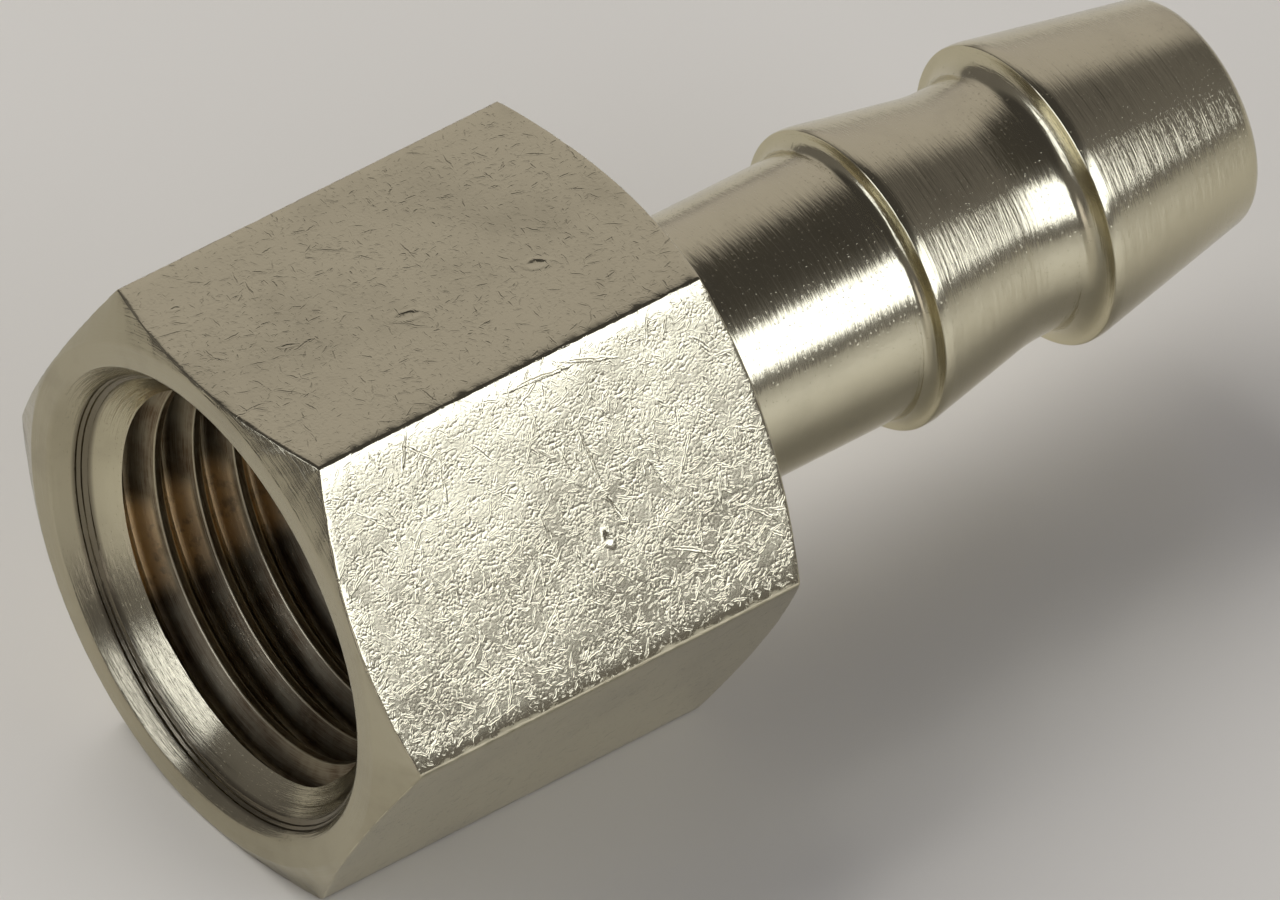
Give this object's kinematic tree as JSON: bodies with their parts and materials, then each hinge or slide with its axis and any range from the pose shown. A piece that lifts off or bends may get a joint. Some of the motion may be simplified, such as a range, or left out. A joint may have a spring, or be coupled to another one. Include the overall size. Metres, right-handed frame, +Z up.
{
  "type": "hose tail fitting",
  "caption": "Turned hose tail with a hexagon body, a female parallel pipe thread in its mouth and a barbed tail that a hose is pushed over.",
  "frame": {"origin": "on the resting plane, under the middle of the fitting's length and below its axis", "axes": "+X along the fitting's axis from the mouth to the tip of the tail, +Z up, a flat of the hexagon down"},
  "size_m": [0.0344, 0.0184, 0.016],
  "materials": {
    "nickel_plate": "nickel plated, turned and tumbled"
  },
  "bodies": {
    "root": {"fitting_body": "nickel_plate"}
  },
  "joints": []
}
